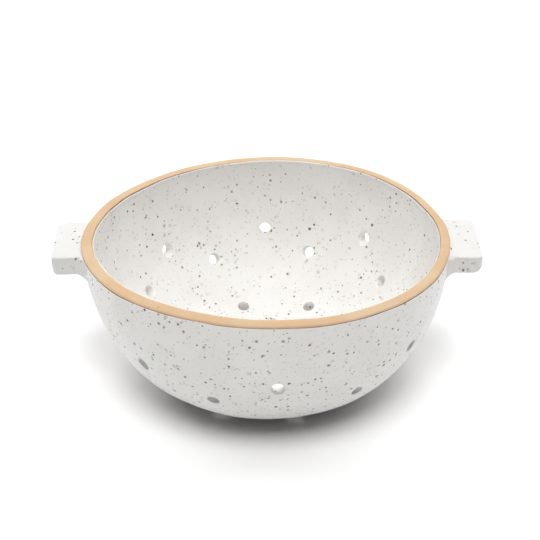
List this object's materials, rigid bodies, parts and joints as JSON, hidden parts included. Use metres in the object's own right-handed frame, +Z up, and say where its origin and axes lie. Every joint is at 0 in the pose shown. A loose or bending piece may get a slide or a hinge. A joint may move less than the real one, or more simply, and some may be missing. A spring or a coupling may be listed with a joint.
{
  "type": "colander",
  "caption": "Deep round glazed stoneware colander with a bare clay lip, drain holes in the wall and floor, a low foot ring and a slab lug handle on each side.",
  "frame": {"origin": "on the bowl's axis, on the surface that the foot ring stands on", "axes": "+X along the two handles, to the right handle; +Z up, out of the bowl's mouth"},
  "size_m": [0.253, 0.2198, 0.094],
  "materials": {
    "glaze": "white satin glaze with dark brown and grey iron specks",
    "clay": "bare tan stoneware, matt and slightly sandy"
  },
  "bodies": {
    "root": {"bowl": "glaze", "bare_rim": "clay", "foot_ring": "clay", "right_handle": "glaze", "right_handle_coil": "glaze", "left_handle": "glaze", "left_handle_coil": "glaze"}
  },
  "joints": []
}
